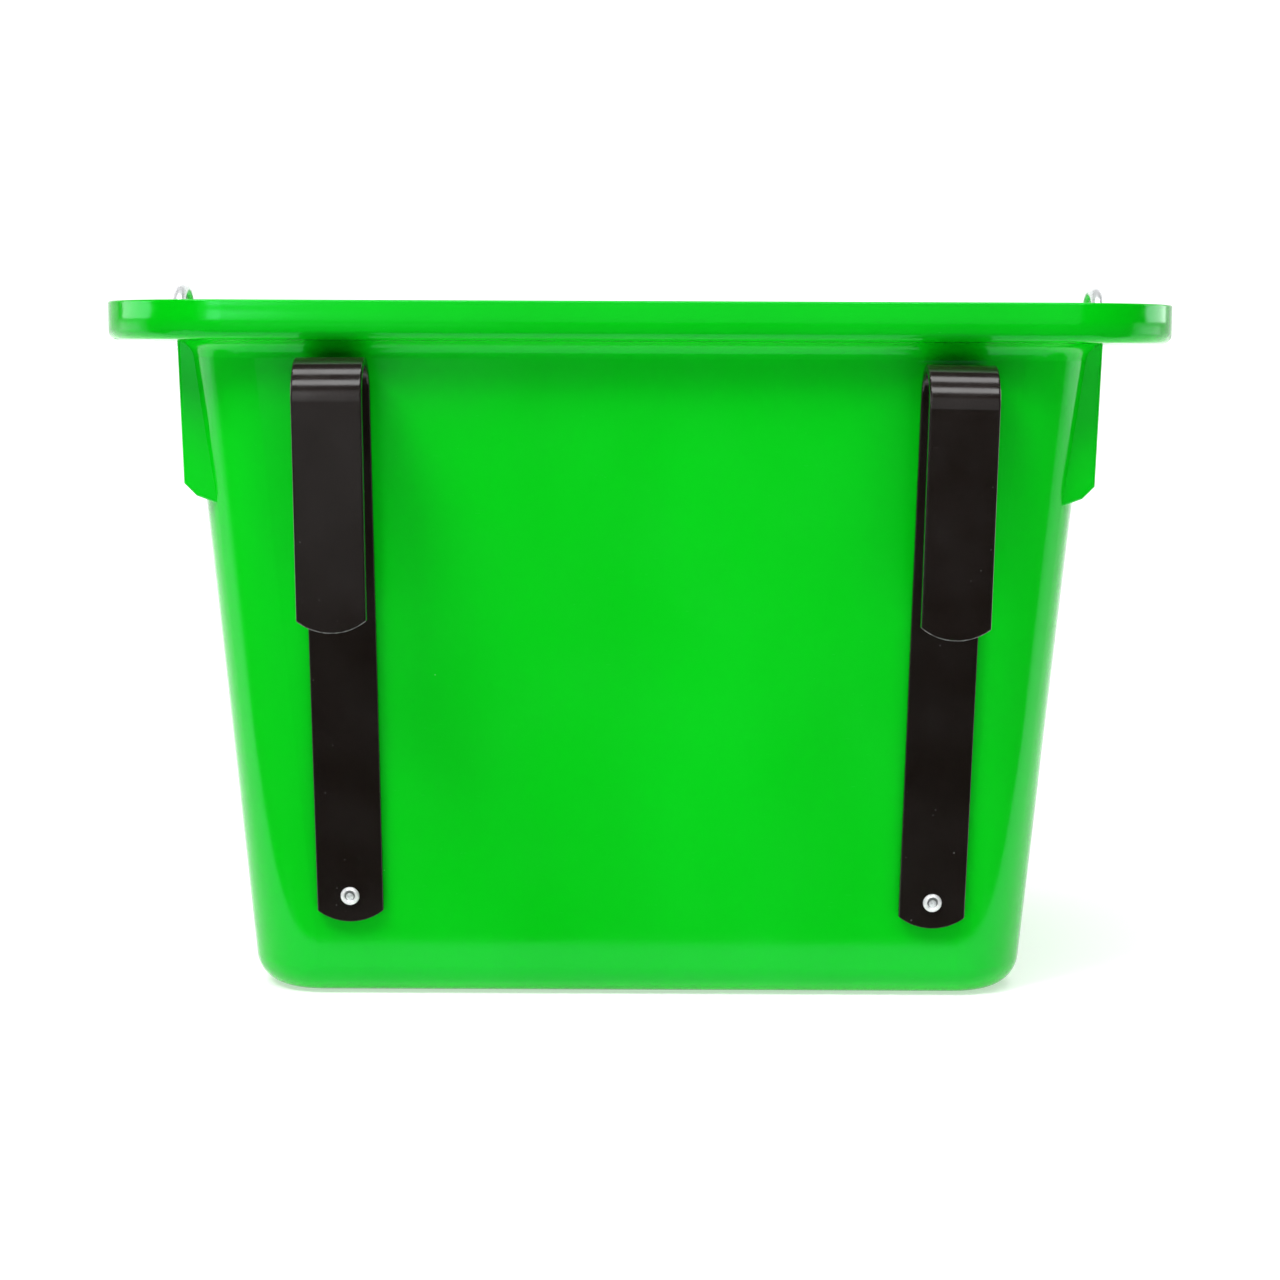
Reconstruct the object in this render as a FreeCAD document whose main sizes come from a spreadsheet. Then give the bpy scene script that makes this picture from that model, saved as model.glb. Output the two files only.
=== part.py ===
import FreeCAD, Part
import math
import os
import Sketcher
from FreeCAD import Placement, Rotation, Vector

# Hook-on feed bucket: a moulded rectangular tub with a ledge and an upturned lip, two flat steel
# hooks riveted to its back wall, and a wire bail whose eyes turn in slots in the side ledges.
# Millimetres. +X to the right seen from the hook side, +Y away from the hooks, +Z up.
# The origin is under the middle of the whole object, on the surface that the base rests on.

DRIVING = [
    ("rim_width", 403, "outside of the lip, left to right"),
    ("rim_depth", 336, "outside of the lip, back to front"),
    ("rim_corner", 50, "plan radius of the lip's corners"),
    ("overall_height", 266.6, "base to the top of the lip"),
    ("lip_height", 14.4, "height of the upturned lip"),
    ("lip_wall", 2.7, "thickness of the lip"),
    ("lip_round", 3.4, "rounding under the lip"),
    ("ledge_thick", 2.8, "thickness of the ledge inside the lip"),
    ("tub_wall", 3, "thickness of the walls and floor"),
    ("mouth_width", 339.4, "outside of the tub just under the ledge"),
    ("base_width", 300.2, "outside of the tub at the base"),
    ("back_overhang", 11.5, "lip beyond the back wall, under the ledge"),
    ("front_overhang", 24, "lip beyond the front wall, under the ledge"),
    ("back_slope", 0.1026, "inward run of the back wall for each unit of height"),
    ("front_slope", 0.2, "inward run of the front wall for each unit of height"),
    ("tub_corner", 28, "radius of the tub's upright corners"),
    ("base_round", 13, "rounding between the base and the walls"),
    ("tray_round", 1.8, "hollow rounding between the ledge and the lip"),
    ("mouth_round", 2, "rounding of the ledge's inner edge"),
    ("lip_edge", 0.8, "rounding along the lip's top"),
    ("neck_round", 7.4, "hollow rounding between the ledge and the walls"),
    ("ear_reach", 172.5, "centre to the outer edge of a stacking ear, at its top"),
    ("ear_lean", 0.033, "inward run of an ear's edge for each unit of height"),
    ("ear_drop", 61.2, "underside of the ledge to the lowest point of an ear"),
    ("ear_thick", 3, "thickness of a stacking ear"),
    ("ear_inset", 27.3, "lip's outside to the face of an ear"),
    ("ear_edge", 1.2, "rounding along the edges of an ear's face"),
    ("ear_bevel_top", 7.8, "an ear's foot to the top of its bevelled corner"),
    ("ear_bevel_low", 3.2, "an ear's foot to the lower end of its bevel"),
    ("ear_bevel_in", 4.3, "an ear's outer edge to the lower end of its bevel"),
    ("ear_foot", 12.8, "an ear's outer edge to the outer end of its level foot"),
    ("ear_root", 8, "depth that an ear's plate runs into the tub's base width"),
    ("hook_proud", 16.3, "hooks beyond the back of the lip"),
    ("strap_width", 25.4, "width of the hook strap"),
    ("strap_thick", 3, "thickness of the hook strap"),
    ("strap_edge", 0.8, "rounding along the strap's edges"),
    ("hook_bend", 15, "outside radius of the hook's bend"),
    ("hook_height", 217.7, "top of the bend to the lower end, along the wall"),
    ("hook_front", 97.7, "top of the bend to the end of the outer leg"),
    ("hook_flare", 3, "degrees that the outer leg opens"),
    ("hook_end_round", 20, "radius of the strap's rounded ends"),
    ("left_hook_x", -110.3, "middle of the left hook at its lower rivet"),
    ("right_hook_x", 112.9, "middle of the right hook at its lower rivet"),
    ("left_hook_drop", 19.1, "lip's top to the top of the left hook"),
    ("right_hook_drop", 21, "lip's top to the top of the right hook"),
    ("left_hook_lean", -0.4, "degrees that the left hook's top leans to the right"),
    ("right_hook_lean", 0.85, "degrees that the right hook's top leans to the right"),
    ("lower_rivet", 10.3, "lower end of a hook to its lower rivet"),
    ("upper_rivet", 60, "top of a hook to its upper rivet"),
    ("rivet_shank", 4.8, "diameter of a blind rivet's shank"),
    ("rivet_hole", 4.9, "diameter of the holes for the rivets"),
    ("rivet_head", 7.2, "diameter of a rivet's dome head"),
    ("rivet_rise", 1.3, "height of a rivet's dome head"),
    ("rivet_dish", 4.2, "diameter of the dish in a rivet's head"),
    ("rivet_crest", 0.15, "width of the crest round a rivet's dish"),
    ("rivet_shoulder", 0.8, "edge of a rivet's head to its crown"),
    ("rivet_side", 0.3, "edge of a rivet's head to the top of its steep side"),
    ("rivet_bore", 3, "diameter of the bore along a rivet"),
    ("rivet_bulb", 7.4, "diameter of a rivet's closed bulb"),
    ("bulb_length", 4, "length of a rivet's closed bulb"),
    ("bulb_edge", 0.4, "narrowing of a bulb where it bears on its washer"),
    ("bulb_swell", 0.6, "washer to the widest place of a bulb"),
    ("bulb_shoulder", 1.6, "washer to the place where a bulb narrows"),
    ("stem_head", 0.9, "length of the straight part of a mandrel's head"),
    ("stem_crown", 1.7, "length of the whole of a mandrel's head"),
    ("mandrel_gap", 0.04, "radial gap between a mandrel and its rivet"),
    ("washer_size", 14, "diameter of a backing washer"),
    ("washer_thick", 1.2, "thickness of a backing washer"),
    ("washer_bevel", 0.2, "bevel on a backing washer's edge"),
    ("washer_play", 0.1, "radial play between a washer and the rivet holes' size"),
    ("bail_wire", 4.8, "diameter of the bail's wire"),
    ("bail_eye", 13, "mean radius of the bail's eyes"),
    ("eye_wire", 5.1, "diameter of an eye's wire, swelled by the weld that closes it"),
    ("bail_half", 194.8, "middle of the bail to the middle of an eye"),
    ("bail_shift", -0.8, "side play taken up to the left"),
    ("bail_reach", 160, "pivot to the middle of the bail's cross run"),
    ("bail_corner", 42, "radius of the bail's corners"),
    ("bail_drop", 4.8, "lip's top to the pivot"),
    ("bail_droop", 1.35, "degrees that the bail slopes down when folded"),
    ("slot_width", 7.6, "width of a bail slot, left to right"),
    ("slot_near", 3.4, "pivot to the near end of a bail slot"),
    ("slot_far", 14.5, "pivot to the far end of a bail slot"),
]

# Extra length that makes a cut or a join run past the face that it ends at.
PAST = 1

doc = FreeCAD.newDocument("feed_bucket")


def make_sheet():
    """Put the driving dimensions in a spreadsheet, one aliased row each."""
    cells = doc.addObject("Spreadsheet::Sheet", "Sizes")
    for row, (alias, value, note) in enumerate(DRIVING, start=1):
        cells.set(f"A{row}", alias)
        cells.set(f"B{row}", str(value))
        cells.set(f"C{row}", note)
        cells.setAlias(f"B{row}", alias)
    doc.recompute()
    return cells


sheet = make_sheet()


def size(alias):
    return float(sheet.get(alias))


LIP_TOP = size("overall_height")
LEDGE_UNDER = LIP_TOP - size("lip_height")
LEDGE_TOP = LEDGE_UNDER + size("ledge_thick")
LIP_BACK = size("hook_proud") / 2 - size("rim_depth") / 2
LIP_FRONT = LIP_BACK + size("rim_depth")
WALL_ANGLE = math.degrees(math.atan(size("back_slope")))
PIVOT = Vector(size("bail_shift"), (LIP_BACK + LIP_FRONT) / 2, LIP_TOP - size("bail_drop"))

# The same places as text, for expressions.
LIP_BACK_TEXT = "(Sizes.hook_proud / 2 - Sizes.rim_depth / 2)"
LIP_FRONT_TEXT = "(Sizes.hook_proud / 2 + Sizes.rim_depth / 2)"
UNDER_TEXT = "(Sizes.overall_height - Sizes.lip_height)"


def new_body(label):
    body = doc.addObject("PartDesign::Body", label)
    body.Label = label
    return body


def origin_plane(body, role):
    return next(item for item in body.Origin.OriginFeatures if item.Role == role)


def new_sketch(body, name, role="XY_Plane", offset=None, turn=None):
    """Attach a sketch to one of the body's own planes; offset is an expression along its normal."""
    sketch = body.newObject("Sketcher::SketchObject", name)
    sketch.AttachmentSupport = (origin_plane(body, role), [""])
    sketch.MapMode = "FlatFace"
    if turn:
        sketch.AttachmentOffset = turn
    if offset:
        sketch.setExpression("AttachmentOffset.Base.z", offset)
    return sketch


def bind(sketch, name, constraint, expression):
    """Add one named driving constraint and bind it to the sheet."""
    index = sketch.addConstraint(constraint)
    sketch.renameConstraint(index, name)
    sketch.setExpression(f"Constraints.{name}", expression)


def rounded_rectangle(sketch, sides, corner):
    """Draw a rounded rectangle. sides holds (value, expression) for left, right, low and high."""
    (left, right, low, high) = [value for value, _ in sides]
    radius, radius_text = corner
    points = [(left, low), (right, low), (right, high), (left, high)]
    lines = []
    for here, there in zip(points, points[1:] + points[:1]):
        step_x = math.copysign(radius, there[0] - here[0]) if there[0] != here[0] else 0
        step_y = math.copysign(radius, there[1] - here[1]) if there[1] != here[1] else 0
        start = Vector(here[0] + step_x, here[1] + step_y, 0)
        end = Vector(there[0] - step_x, there[1] - step_y, 0)
        lines.append(sketch.addGeometry(Part.LineSegment(start, end), False))
    centres = [(right - radius, low + radius), (right - radius, high - radius),
               (left + radius, high - radius), (left + radius, low + radius)]
    for index, (x, y) in enumerate(centres):
        circle = Part.Circle(Vector(x, y, 0), Vector(0, 0, 1), radius)
        start = math.radians(-90 + 90 * index)
        arc = sketch.addGeometry(Part.ArcOfCircle(circle, start, start + math.pi / 2), False)
        following = lines[(index + 1) % 4]
        sketch.addConstraint(Sketcher.Constraint("Tangent", lines[index], 2, arc, 1))
        sketch.addConstraint(Sketcher.Constraint("Tangent", arc, 2, following, 1))
        if index:
            sketch.addConstraint(Sketcher.Constraint("Equal", lines[3] + 1, arc))
    for index, kind in enumerate(("Horizontal", "Vertical", "Horizontal", "Vertical")):
        sketch.addConstraint(Sketcher.Constraint(kind, lines[index]))
    texts = [text for _, text in sides]
    bind(sketch, "left", Sketcher.Constraint("DistanceX", -1, 1, lines[3], 1, left), texts[0])
    bind(sketch, "right", Sketcher.Constraint("DistanceX", -1, 1, lines[1], 1, right), texts[1])
    bind(sketch, "low", Sketcher.Constraint("DistanceY", -1, 1, lines[0], 1, low), texts[2])
    bind(sketch, "high", Sketcher.Constraint("DistanceY", -1, 1, lines[2], 1, high), texts[3])
    bind(sketch, "corner", Sketcher.Constraint("Radius", lines[3] + 1, radius), radius_text)


def polygon(sketch, points):
    """Draw a closed outline through (u, v) pairs, each pair being (value, expression) twice."""
    plain = [Vector(u[0], v[0], 0) for u, v in points]
    count = len(plain)
    first = sketch.GeometryCount
    for index in range(count):
        segment = Part.LineSegment(plain[index], plain[(index + 1) % count])
        sketch.addGeometry(segment, False)
    for index in range(count):
        following = first + (index + 1) % count
        sketch.addConstraint(Sketcher.Constraint("Coincident", first + index, 2, following, 1))
    for index, (u, v) in enumerate(points):
        at_u = Sketcher.Constraint("DistanceX", -1, 1, first + index, 1, u[0])
        at_v = Sketcher.Constraint("DistanceY", -1, 1, first + index, 1, v[0])
        bind(sketch, f"u{first + index}", at_u, u[1])
        bind(sketch, f"v{first + index}", at_v, v[1])


def value_of(text):
    """Work out an expression over the sheet, as the document does."""
    return float(doc.getObject("Sizes").evalExpression(text))


def pair(text):
    return value_of(text), text


def add_feature(body, kind, name, **properties):
    feature = body.newObject(kind, name)
    for key, value in properties.items():
        if isinstance(value, str) and value.startswith("="):
            feature.setExpression(key, value[1:])
        else:
            setattr(feature, key, value)
    return feature


def round_edges(body, name, radius_text, wanted):
    """Fillet the edges of the body's tip for which wanted(edge) is true."""
    doc.recompute()
    base = body.Tip
    names = [f"Edge{number}" for number, edge in enumerate(base.Shape.Edges, start=1) if wanted(edge)]
    if not names:
        raise RuntimeError(f"{name}: no edge to round")
    fillet = body.newObject("PartDesign::Fillet", name)
    fillet.Base = (base, names)
    fillet.setExpression("Radius", radius_text)
    doc.recompute()
    return fillet


def flat_at(height):
    """Say whether an edge lies level at the given height."""
    return lambda edge: flat_between(edge.BoundBox.ZMin, edge.BoundBox.ZMax, height)


def taper_block(body, kind, name, low_text, high_text, inset_text):
    """Add or cut the tub's tapered block between two heights, set in by a wall's thickness."""
    block = body.newObject(kind, name)
    # On the XZ plane the block's own Y runs up and its own Z runs towards the hooks.
    block.AttachmentSupport = (origin_plane(body, "XZ_Plane"), [""])
    block.MapMode = "FlatFace"
    block.setExpression("Ymin", low_text)
    block.setExpression("Ymax", high_text)
    for height, ends in ((low_text, ("Xmin", "Xmax", "Zmin", "Zmax")),
                         (high_text, ("X2min", "X2max", "Z2min", "Z2max"))):
        rise = f"({height})"
        fall = f"({UNDER_TEXT} - {rise})"
        flare = f"(Sizes.mouth_width - Sizes.base_width) * {rise} / {UNDER_TEXT}"
        half = f"((Sizes.base_width + {flare}) / 2 - {inset_text})"
        back = f"{LIP_BACK_TEXT} + Sizes.back_overhang + Sizes.back_slope * {fall} + {inset_text}"
        front = f"{LIP_FRONT_TEXT} - Sizes.front_overhang - Sizes.front_slope * {fall} - {inset_text}"
        for end, text in zip(ends, (f"-{half}", half, f"-({front})", f"-({back})")):
            block.setExpression(end, text)
    doc.recompute()
    return block


def rim_section(body, name, height_text, inset_text):
    """Sketch the lip's outline at a height, set in by the lip's thickness for the tray."""
    sketch = new_sketch(body, name, offset=height_text)
    half = f"Sizes.rim_width / 2 - {inset_text}"
    sides = [pair(f"-({half})"), pair(half),
             pair(f"{LIP_BACK_TEXT} + {inset_text}"), pair(f"{LIP_FRONT_TEXT} - {inset_text}")]
    rounded_rectangle(sketch, sides, pair(f"Sizes.rim_corner - {inset_text}"))
    return sketch


def add_ears(body):
    """Add the four stacking ears: thin upright plates across the tub's corners."""
    for place, inset in (("back", f"{LIP_BACK_TEXT} + Sizes.ear_inset"),
                         ("front", f"{LIP_FRONT_TEXT} - Sizes.ear_inset - Sizes.ear_thick")):
        # The XZ plane's normal points to -Y, so a plane at +Y has a negative offset.
        sketch = new_sketch(body, f"{place}_ear_outline", "XZ_Plane", offset=f"-({inset})")
        top = f"{UNDER_TEXT} + Sizes.ledge_thick / 2"
        foot = f"{UNDER_TEXT} - Sizes.ear_drop"
        heights = [top, f"{foot} + Sizes.ear_bevel_top", f"{foot} + Sizes.ear_bevel_low", foot]
        lean = "Sizes.ear_lean * (Sizes.ear_drop - Sizes.ear_bevel_top)"
        edge = "Sizes.ear_reach - Sizes.ear_lean * Sizes.ear_drop"
        reaches = ["Sizes.ear_reach", f"Sizes.ear_reach - {lean}",
                   f"{edge} - Sizes.ear_bevel_in", f"{edge} - Sizes.ear_foot"]
        root = "Sizes.base_width / 2 - Sizes.ear_root"
        outline = list(zip(reaches, heights)) + [(root, heights[3]), (root, top)]
        for sign in ("-1", "1"):
            polygon(sketch, [(pair(f"{sign} * ({u})"), pair(v)) for u, v in outline])
        doc.recompute()
        add_feature(body, "PartDesign::Pad", f"{place}_ears", Profile=sketch,
                    Length="=Sizes.ear_thick", Reversed=True)
        round_edges(body, f"{place}_ear_edges", "Sizes.ear_edge", is_ear_edge)


def cut_bail_slots(body):
    """Cut two slots in each side ledge, leaving a bar that a bail eye turns round."""
    sketch = new_sketch(body, "bail_slot_outline", offset=f"{UNDER_TEXT} - {PAST}")
    middle = f"({LIP_BACK_TEXT} + Sizes.rim_depth / 2)"
    for side in ("-1", "1"):
        inner = f"{side} * (Sizes.bail_half - Sizes.slot_width / 2)"
        outer = f"{side} * (Sizes.bail_half + Sizes.slot_width / 2)"
        for way in ("-1", "1"):
            near = f"{middle} + {way} * Sizes.slot_near"
            far = f"{middle} + {way} * Sizes.slot_far"
            corners = [(inner, near), (outer, near), (outer, far), (inner, far)]
            polygon(sketch, [(pair(u), pair(v)) for u, v in corners])
    doc.recompute()
    before = body.Tip.Shape.Volume
    add_feature(body, "PartDesign::Pocket", "bail_slots", Profile=sketch,
                Length=f"=Sizes.ledge_thick + {2 * PAST}", Reversed=True)
    doc.recompute()
    if body.Tip.Shape.Volume >= before:
        raise RuntimeError("the bail slots cut nothing")


def wall_point(height):
    """Give the Y of the back wall's outer face at a height."""
    return LIP_BACK + size("back_overhang") + size("back_slope") * (LEDGE_UNDER - height)


def wall_frame(x, height):
    """Give a placement on the back wall: local +Z up the wall, local +Y square into the tub."""
    return Placement(Vector(x, wall_point(height), height), Rotation(Vector(1, 0, 0), WALL_ANGLE))


def hook_frames():
    """Give each hook's name and placement, with the frame at the top of its bend."""
    rise = size("hook_height") - size("lower_rivet")
    for side in ("left", "right"):
        upright = wall_frame(size(f"{side}_hook_x"), LIP_TOP - size(f"{side}_hook_drop"))
        lean = Rotation(Vector(0, 1, 0), size(f"{side}_hook_lean"))
        foot = upright * Placement(Vector(0, 0, -rise), lean)
        yield side, foot * Placement(Vector(0, 0, rise), Rotation())


def rivet_places():
    """Give each rivet's name and its placement on the back wall."""
    drops = {"upper": size("upper_rivet"), "lower": size("hook_height") - size("lower_rivet")}
    for side, frame in hook_frames():
        for level, drop in drops.items():
            yield f"{side}_{level}", frame * Placement(Vector(0, 0, -drop), Rotation())


def drill_wall(body):
    """Cut the four rivet holes square through the sloping back wall."""
    reach = size("tub_wall") * 3
    for name, frame in rivet_places():
        start = frame.multVec(Vector(0, -reach, 0))
        turn = Rotation(Vector(1, 0, 0), WALL_ANGLE - 90)
        cutter = add_feature(body, "PartDesign::SubtractiveCylinder", f"{name}_hole",
                             Radius="=Sizes.rivet_hole / 2", Height="=Sizes.tub_wall * 6")
        cutter.AttachmentSupport = (origin_plane(body, "XY_Plane"), [""])
        cutter.MapMode = "FlatFace"
        cutter.AttachmentOffset = Placement(start, turn)
        doc.recompute()


def make_core():
    """Build the shape of the tub's hollow, which the tub is cut by."""
    body = new_body("hollow_core")
    taper_block(body, "PartDesign::AdditiveWedge", "core_taper", "Sizes.tub_wall",
                f"Sizes.overall_height + {PAST}", "Sizes.tub_wall")
    round_edges(body, "core_corners", "Sizes.tub_corner - Sizes.tub_wall", is_steep)
    round_edges(body, "core_floor", "Sizes.base_round - Sizes.tub_wall", flat_at(size("tub_wall")))
    return body


def make_tub():
    """Build the moulded tub: tapered shell, ledge, upturned lip, ears, slots and rivet holes."""
    core = make_core()
    body = new_body("tub")
    taper_block(body, "PartDesign::AdditiveWedge", "outer_taper", "0", f"{UNDER_TEXT} + {PAST}", "0")
    round_edges(body, "corner_rounding", "Sizes.tub_corner", is_steep)
    round_edges(body, "base_rounding", "Sizes.base_round", flat_at(0))

    rim = rim_section(body, "lip_outline", UNDER_TEXT, "0")
    doc.recompute()
    add_feature(body, "PartDesign::Pad", "rim_block", Profile=rim, Length="=Sizes.lip_height")
    under = flat_at(LEDGE_UNDER)
    round_edges(body, "lip_rounding", "Sizes.lip_round",
                lambda edge: under(edge) and near_lip(edge, PAST))
    round_edges(body, "neck_rounding", "Sizes.neck_round",
                lambda edge: under(edge) and not near_lip(edge, size("lip_round") + PAST))
    add_ears(body)

    tray = rim_section(body, "tray_outline", "Sizes.overall_height", "Sizes.lip_wall")
    doc.recompute()
    add_feature(body, "PartDesign::Pocket", "tray", Profile=tray,
                Length="=Sizes.lip_height - Sizes.ledge_thick")
    hollow = body.newObject("PartDesign::Boolean", "hollow")
    hollow.Type = "Cut"
    hollow.addObject(core)
    doc.recompute()
    level = flat_at(LEDGE_TOP)
    round_edges(body, "tray_rounding", "Sizes.tray_round",
                lambda edge: level(edge) and near_lip(edge, size("lip_wall") + PAST))
    tray_edge = size("lip_wall") + size("tray_round") + PAST
    round_edges(body, "mouth_rounding", "Sizes.mouth_round",
                lambda edge: level(edge) and not near_lip(edge, tray_edge))
    round_edges(body, "lip_top_rounding", "Sizes.lip_edge", flat_at(LIP_TOP))
    cut_bail_slots(body)
    drill_wall(body)
    return body


def is_ear_edge(edge):
    """Say whether a straight edge bounds the outward face of an ear's plate."""
    box = edge.BoundBox
    faces = (LIP_BACK + size("ear_inset"), LIP_FRONT - size("ear_inset"))
    on_face = any(flat_between(box.YMin, box.YMax, face) for face in faces)
    straight = edge.Curve.TypeId == "Part::GeomLine" and edge.Length > size("ear_thick")
    return on_face and straight and box.ZMax <= LEDGE_UNDER


def flat_between(low, high, level, tolerance=0.01):
    """Say whether a span is no more than one level."""
    return abs(low - level) < tolerance and abs(high - level) < tolerance


def is_steep(edge):
    """Say whether an edge runs up the tub from its base to its mouth."""
    box = edge.BoundBox
    return box.ZMax - box.ZMin > size("overall_height") / 2


def near_lip(edge, margin):
    """Say whether an edge lies within a margin of the lip's outline."""
    box = edge.BoundBox
    out = max(abs(box.XMin), abs(box.XMax)) > size("rim_width") / 2 - margin
    return out or box.YMin < LIP_BACK + margin or box.YMax > LIP_FRONT - margin


def strap_end_cut(body, name, end_text, plane_text, depth_text):
    """Round one end of a strap by cutting away what lies below an arc across its width."""
    sketch = new_sketch(body, f"{name}_outline", "XZ_Plane", offset=plane_text)
    half_text = f"Sizes.strap_width / 2 + {PAST}"
    half = value_of(half_text)
    radius = size("hook_end_round")
    end = value_of(end_text)
    shoulder = end + radius - math.sqrt(radius ** 2 - half ** 2)
    below = end - 2 * PAST
    corners = [Vector(-half, shoulder, 0), Vector(-half, below, 0), Vector(half, below, 0),
               Vector(half, shoulder, 0)]
    for here, there in zip(corners, corners[1:]):
        sketch.addGeometry(Part.LineSegment(here, there), False)
    arc = Part.Arc(corners[3], Vector(0, end, 0), corners[0])
    sketch.addGeometry(arc, False)
    for index in range(2):
        sketch.addConstraint(Sketcher.Constraint("Coincident", index, 2, index + 1, 1))
    for index, kind in enumerate(("Vertical", "Horizontal", "Vertical")):
        sketch.addConstraint(Sketcher.Constraint(kind, index))
    # The arc runs from the left shoulder, through the strap's tip, to the right shoulder.
    sketch.addConstraint(Sketcher.Constraint("Coincident", 0, 1, 3, 1))
    sketch.addConstraint(Sketcher.Constraint("Coincident", 2, 2, 3, 2))
    sketch.addConstraint(Sketcher.Constraint("PointOnObject", 3, 3, -2))
    bind(sketch, "half", Sketcher.Constraint("DistanceX", -1, 1, 2, 2, half), half_text)
    bind(sketch, "below", Sketcher.Constraint("DistanceY", -1, 1, 1, 1, below),
         f"{end_text} - {2 * PAST}")
    bind(sketch, "bow", Sketcher.Constraint("Radius", 3, radius), "Sizes.hook_end_round")
    bind(sketch, "middle", Sketcher.Constraint("DistanceY", -1, 1, 3, 3, end + radius),
         f"{end_text} + Sizes.hook_end_round")
    cut_through(body, name, sketch, depth_text)


def cut_through(body, name, sketch, depth_text):
    """Cut a sketch's area both ways from its plane, and make sure that something goes."""
    doc.recompute()
    before = body.Tip.Shape.Volume
    add_feature(body, "PartDesign::Pocket", name, Profile=sketch, Midplane=True,
                Length=f"={depth_text}")
    doc.recompute()
    if body.Tip.Shape.Volume >= before:
        raise RuntimeError(f"{name} cuts nothing")


def strap_route(body):
    """Sketch the middle of the strap's thickness: up the wall, over the bend and down again."""
    sketch = new_sketch(body, "strap_route", "YZ_Plane")
    middle = size("strap_thick") / 2
    bend = size("hook_bend")
    radius = bend - middle
    sweep = math.pi - math.radians(size("hook_flare"))
    bend_end = Vector(-bend + radius * math.cos(sweep), -bend + radius * math.sin(sweep), 0)
    run = (bend_end.y + size("hook_front")) / -math.cos(sweep)
    leg_end = bend_end + Vector(-math.sin(sweep) * run, math.cos(sweep) * run, 0)
    foot = Vector(-middle, -size("hook_height"), 0)
    sketch.addGeometry(Part.LineSegment(foot, Vector(-middle, -bend, 0)), False)
    circle = Part.Circle(Vector(-bend, -bend, 0), Vector(0, 0, 1), radius)
    sketch.addGeometry(Part.ArcOfCircle(circle, 0, sweep), False)
    sketch.addGeometry(Part.LineSegment(bend_end, leg_end), False)
    sketch.addConstraint(Sketcher.Constraint("Vertical", 0))
    sketch.addConstraint(Sketcher.Constraint("Tangent", 0, 2, 1, 1))
    sketch.addConstraint(Sketcher.Constraint("Tangent", 1, 2, 2, 1))
    bind(sketch, "across", Sketcher.Constraint("DistanceX", -1, 1, 0, 1, -middle),
         "-Sizes.strap_thick / 2")
    bind(sketch, "foot", Sketcher.Constraint("DistanceY", -1, 1, 0, 1, foot.y),
         "-Sizes.hook_height")
    bind(sketch, "crown", Sketcher.Constraint("DistanceY", -1, 1, 1, 3, -bend),
         "-Sizes.hook_bend")
    bind(sketch, "bend", Sketcher.Constraint("Radius", 1, radius),
         "Sizes.hook_bend - Sizes.strap_thick / 2")
    bind(sketch, "tip", Sketcher.Constraint("DistanceY", -1, 1, 2, 2, leg_end.y),
         "-Sizes.hook_front")
    bind(sketch, "flare", Sketcher.Constraint("Angle", 1, sweep),
         "180 deg - Sizes.hook_flare * 1 deg")
    return sketch


def make_hook(side, frame):
    """Build a flat steel hook: one strap with rolled edges, a round bend and rounded ends."""
    body = new_body(f"{side}_hook")
    route = strap_route(body)
    section = new_sketch(body, "strap_section", offset="-Sizes.hook_height")
    sides = [pair("-Sizes.strap_width / 2"), pair("Sizes.strap_width / 2"),
             pair("-Sizes.strap_thick"), pair("0")]
    rounded_rectangle(section, sides, pair("Sizes.strap_edge"))
    doc.recompute()
    add_feature(body, "PartDesign::AdditivePipe", "strap", Profile=section, Spine=(route, []))
    doc.recompute()
    strap_end_cut(body, "lower_end", "-Sizes.hook_height", "0", "Sizes.hook_bend")
    strap_end_cut(body, "outer_end", "-Sizes.hook_front", "2 * Sizes.hook_bend",
                  "Sizes.hook_bend * 1.2")
    holes = new_sketch(body, "rivet_holes", "XZ_Plane")
    levels = ("-Sizes.upper_rivet", "Sizes.lower_rivet - Sizes.hook_height")
    for index, level in enumerate(levels):
        centre = Vector(0, value_of(level), 0)
        circle = Part.Circle(centre, Vector(0, 0, 1), size("rivet_hole") / 2)
        holes.addGeometry(circle, False)
        holes.addConstraint(Sketcher.Constraint("PointOnObject", index, 3, -2))
        bind(holes, f"level{index}", Sketcher.Constraint("DistanceY", -1, 1, index, 3, centre.y),
             level)
        bind(holes, f"hole{index}", Sketcher.Constraint("Radius", index, size("rivet_hole") / 2),
             "Sizes.rivet_hole / 2")
    cut_through(body, "rivet_cuts", holes, "Sizes.strap_thick * 3")
    body.Placement = frame
    return body


def turned(label, outline, frame):
    """Turn a closed outline of (radius, along) expressions about the piece's own Y axis."""
    body = new_body(label)
    sketch = new_sketch(body, f"{label}_outline")
    polygon(sketch, [(pair(radius), pair(along)) for radius, along in outline])
    doc.recompute()
    add_feature(body, "PartDesign::Revolution", f"{label}_turned", Profile=sketch,
                ReferenceAxis=(sketch, ["V_Axis"]), Angle=360.0)
    doc.recompute()
    body.Placement = frame
    return body


# Depths square into the tub from the back wall's outer face: the strap lies at negative ones.
WALL_DEPTH = "(Sizes.tub_wall / sqrt(1 + Sizes.back_slope ^ 2))"
STACK_END = f"({WALL_DEPTH} + Sizes.washer_thick)"
BULB_END = f"({STACK_END} + Sizes.bulb_length)"
HEAD_FACE = "(-Sizes.strap_thick)"


def head_level(share):
    """Give the depth of a point on a dome head at a share of the head's rise."""
    return f"{HEAD_FACE} - {share} * Sizes.rivet_rise"


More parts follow.
